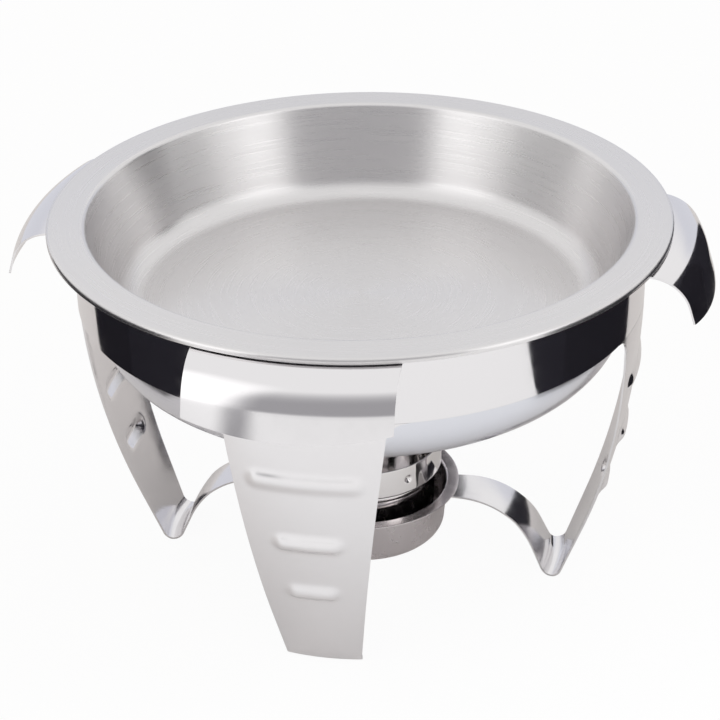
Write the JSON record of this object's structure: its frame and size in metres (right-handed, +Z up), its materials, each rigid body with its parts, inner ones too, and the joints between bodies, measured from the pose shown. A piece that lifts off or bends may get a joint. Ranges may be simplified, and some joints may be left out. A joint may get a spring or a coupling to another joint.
{
  "type": "chafing dish",
  "caption": "Round chafing dish without its cover: a flanged food pan nested in a water pan, on a ring stand with splayed legs, grip handles and a loose fuel cup.",
  "frame": {"origin": "floor level on the centre line of the pans", "axes": "+Z up, front leg on -Y, legs and handles on the X and Y axes"},
  "size_m": [0.445, 0.445, 0.25],
  "materials": {
    "food_pan_steel": "satin flange, brushed round inside",
    "water_pan_steel": "satin, slightly bluish reflections",
    "stand_steel": "polished bright",
    "handle_steel": "polished bright",
    "dish_steel": "drawn, satin outside",
    "cup_steel": "polished bright"
  },
  "bodies": {
    "frame": {"stand_ring": "stand_steel", "leg_front": "stand_steel", "leg_right": "stand_steel", "leg_back": "stand_steel", "leg_left": "stand_steel", "handle_front": "handle_steel", "handle_right": "handle_steel", "handle_back": "handle_steel", "handle_left": "handle_steel", "fuel_dish": "dish_steel"},
    "water_pan": {"water_pan": "water_pan_steel"},
    "food_pan": {"food_pan": "food_pan_steel"},
    "fuel_cup": {"fuel_cup": "cup_steel"}
  },
  "joints": [
    {"name": "water_pan_lift", "type": "slide", "parent": "frame", "child": "water_pan", "axis": [0, 0, 1], "range_m": [0, 0.11]},
    {"name": "food_pan_lift", "type": "slide", "parent": "water_pan", "child": "food_pan", "axis": [0, 0, 1], "range_m": [0, 0.07]},
    {"name": "fuel_cup_lift", "type": "slide", "parent": "frame", "child": "fuel_cup", "axis": [0, 0, 1], "range_m": [0, 0.045]}
  ]
}
